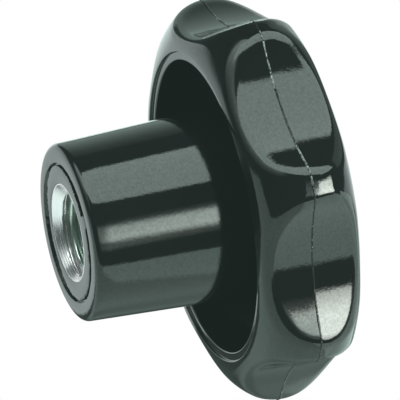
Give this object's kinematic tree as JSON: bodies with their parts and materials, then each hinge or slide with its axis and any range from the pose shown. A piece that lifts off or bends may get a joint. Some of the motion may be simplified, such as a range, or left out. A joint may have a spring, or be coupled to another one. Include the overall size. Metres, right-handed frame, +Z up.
{
  "type": "lobed hand nut",
  "caption": "Black moulded hand knob with a lobed rim, hollow underside and long tapered hub around a threaded steel bush.",
  "frame": {"origin": "centre of the hub's end face, on the thread's axis, where the nut lands on the work", "axes": "+Z up the axis from the hub's end towards the domed top; one lobe of the wheel points along +Y"},
  "size_m": [0.0532, 0.052, 0.0351],
  "materials": {
    "black_phenolic": "glossy moulded phenolic, as moulded",
    "zinc_plated_steel": "turned steel, thin zinc plating"
  },
  "bodies": {
    "root": {"knob_body": "black_phenolic", "threaded_insert": "zinc_plated_steel"}
  },
  "joints": []
}
